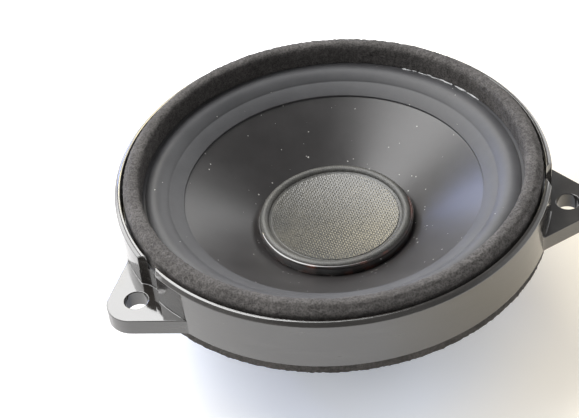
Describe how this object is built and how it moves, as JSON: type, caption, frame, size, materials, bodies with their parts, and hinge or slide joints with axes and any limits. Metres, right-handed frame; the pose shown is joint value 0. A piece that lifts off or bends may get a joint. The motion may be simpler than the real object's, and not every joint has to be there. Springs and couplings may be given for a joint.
{
  "type": "dashboard speaker",
  "caption": "Round dash speaker with a moulded three-ear basket, foam gaskets, rubber surround, black cone, cloth dust cap and a small ring-magnet motor.",
  "frame": {"origin": "on the speaker's axis at the flat back face of the motor", "axes": "+Z along the axis towards the listener, +Y towards the ear above the connector"},
  "size_m": [0.1192, 0.1159, 0.0484],
  "materials": {
    "basket_plastic": "moulded black plastic, satin gloss",
    "gasket_foam": "open-cell charcoal foam",
    "rear_foam": "open-cell charcoal foam",
    "surround_rubber": "moulded rubber, matt",
    "cone_polymer": "satin black moulded polymer",
    "cap_cloth": "grey-green treated cloth",
    "brown_glue": "glossy brown contact glue",
    "former_film": "amber film",
    "copper_wire": "enamelled copper wire, close wound",
    "spider_cloth": "resin-dipped woven cloth",
    "plated_steel": "zinc-plated pressed steel",
    "ferrite": "sintered ferrite, matt dark grey",
    "screw_steel": "zinc-plated steel",
    "socket_plastic": "moulded black plastic",
    "tinned_brass": "tin-plated brass strip",
    "tinsel_braid": "copper tinsel braid",
    "black_glue": "black glue"
  },
  "bodies": {
    "frame": {"basket": "basket_plastic", "front_gasket": "gasket_foam", "rear_gasket": "rear_foam", "surround": "surround_rubber", "spider": "spider_cloth", "front_plate": "plated_steel", "magnet": "ferrite", "yoke": "plated_steel", "plate_screws": "screw_steel", "connector_housing": "socket_plastic", "terminal_positive": "tinned_brass", "terminal_negative": "tinned_brass", "tinsel_lead_positive": "tinsel_braid", "tinsel_lead_negative": "tinsel_braid"},
    "diaphragm": {"cone": "cone_polymer", "dust_cap": "cap_cloth", "cap_adhesive": "brown_glue", "voice_coil_former": "former_film", "voice_coil_winding": "copper_wire", "neck_adhesive": "brown_glue", "lead_joints": "black_glue"}
  },
  "joints": [
    {"name": "cone_travel", "type": "slide", "parent": "frame", "child": "diaphragm", "axis": [0, 0, 1], "range_m": [-0.003, 0.003], "stiffness_N_per_m": 1200, "deforming": ["surround", "spider", "tinsel_lead_positive", "tinsel_lead_negative"]}
  ]
}
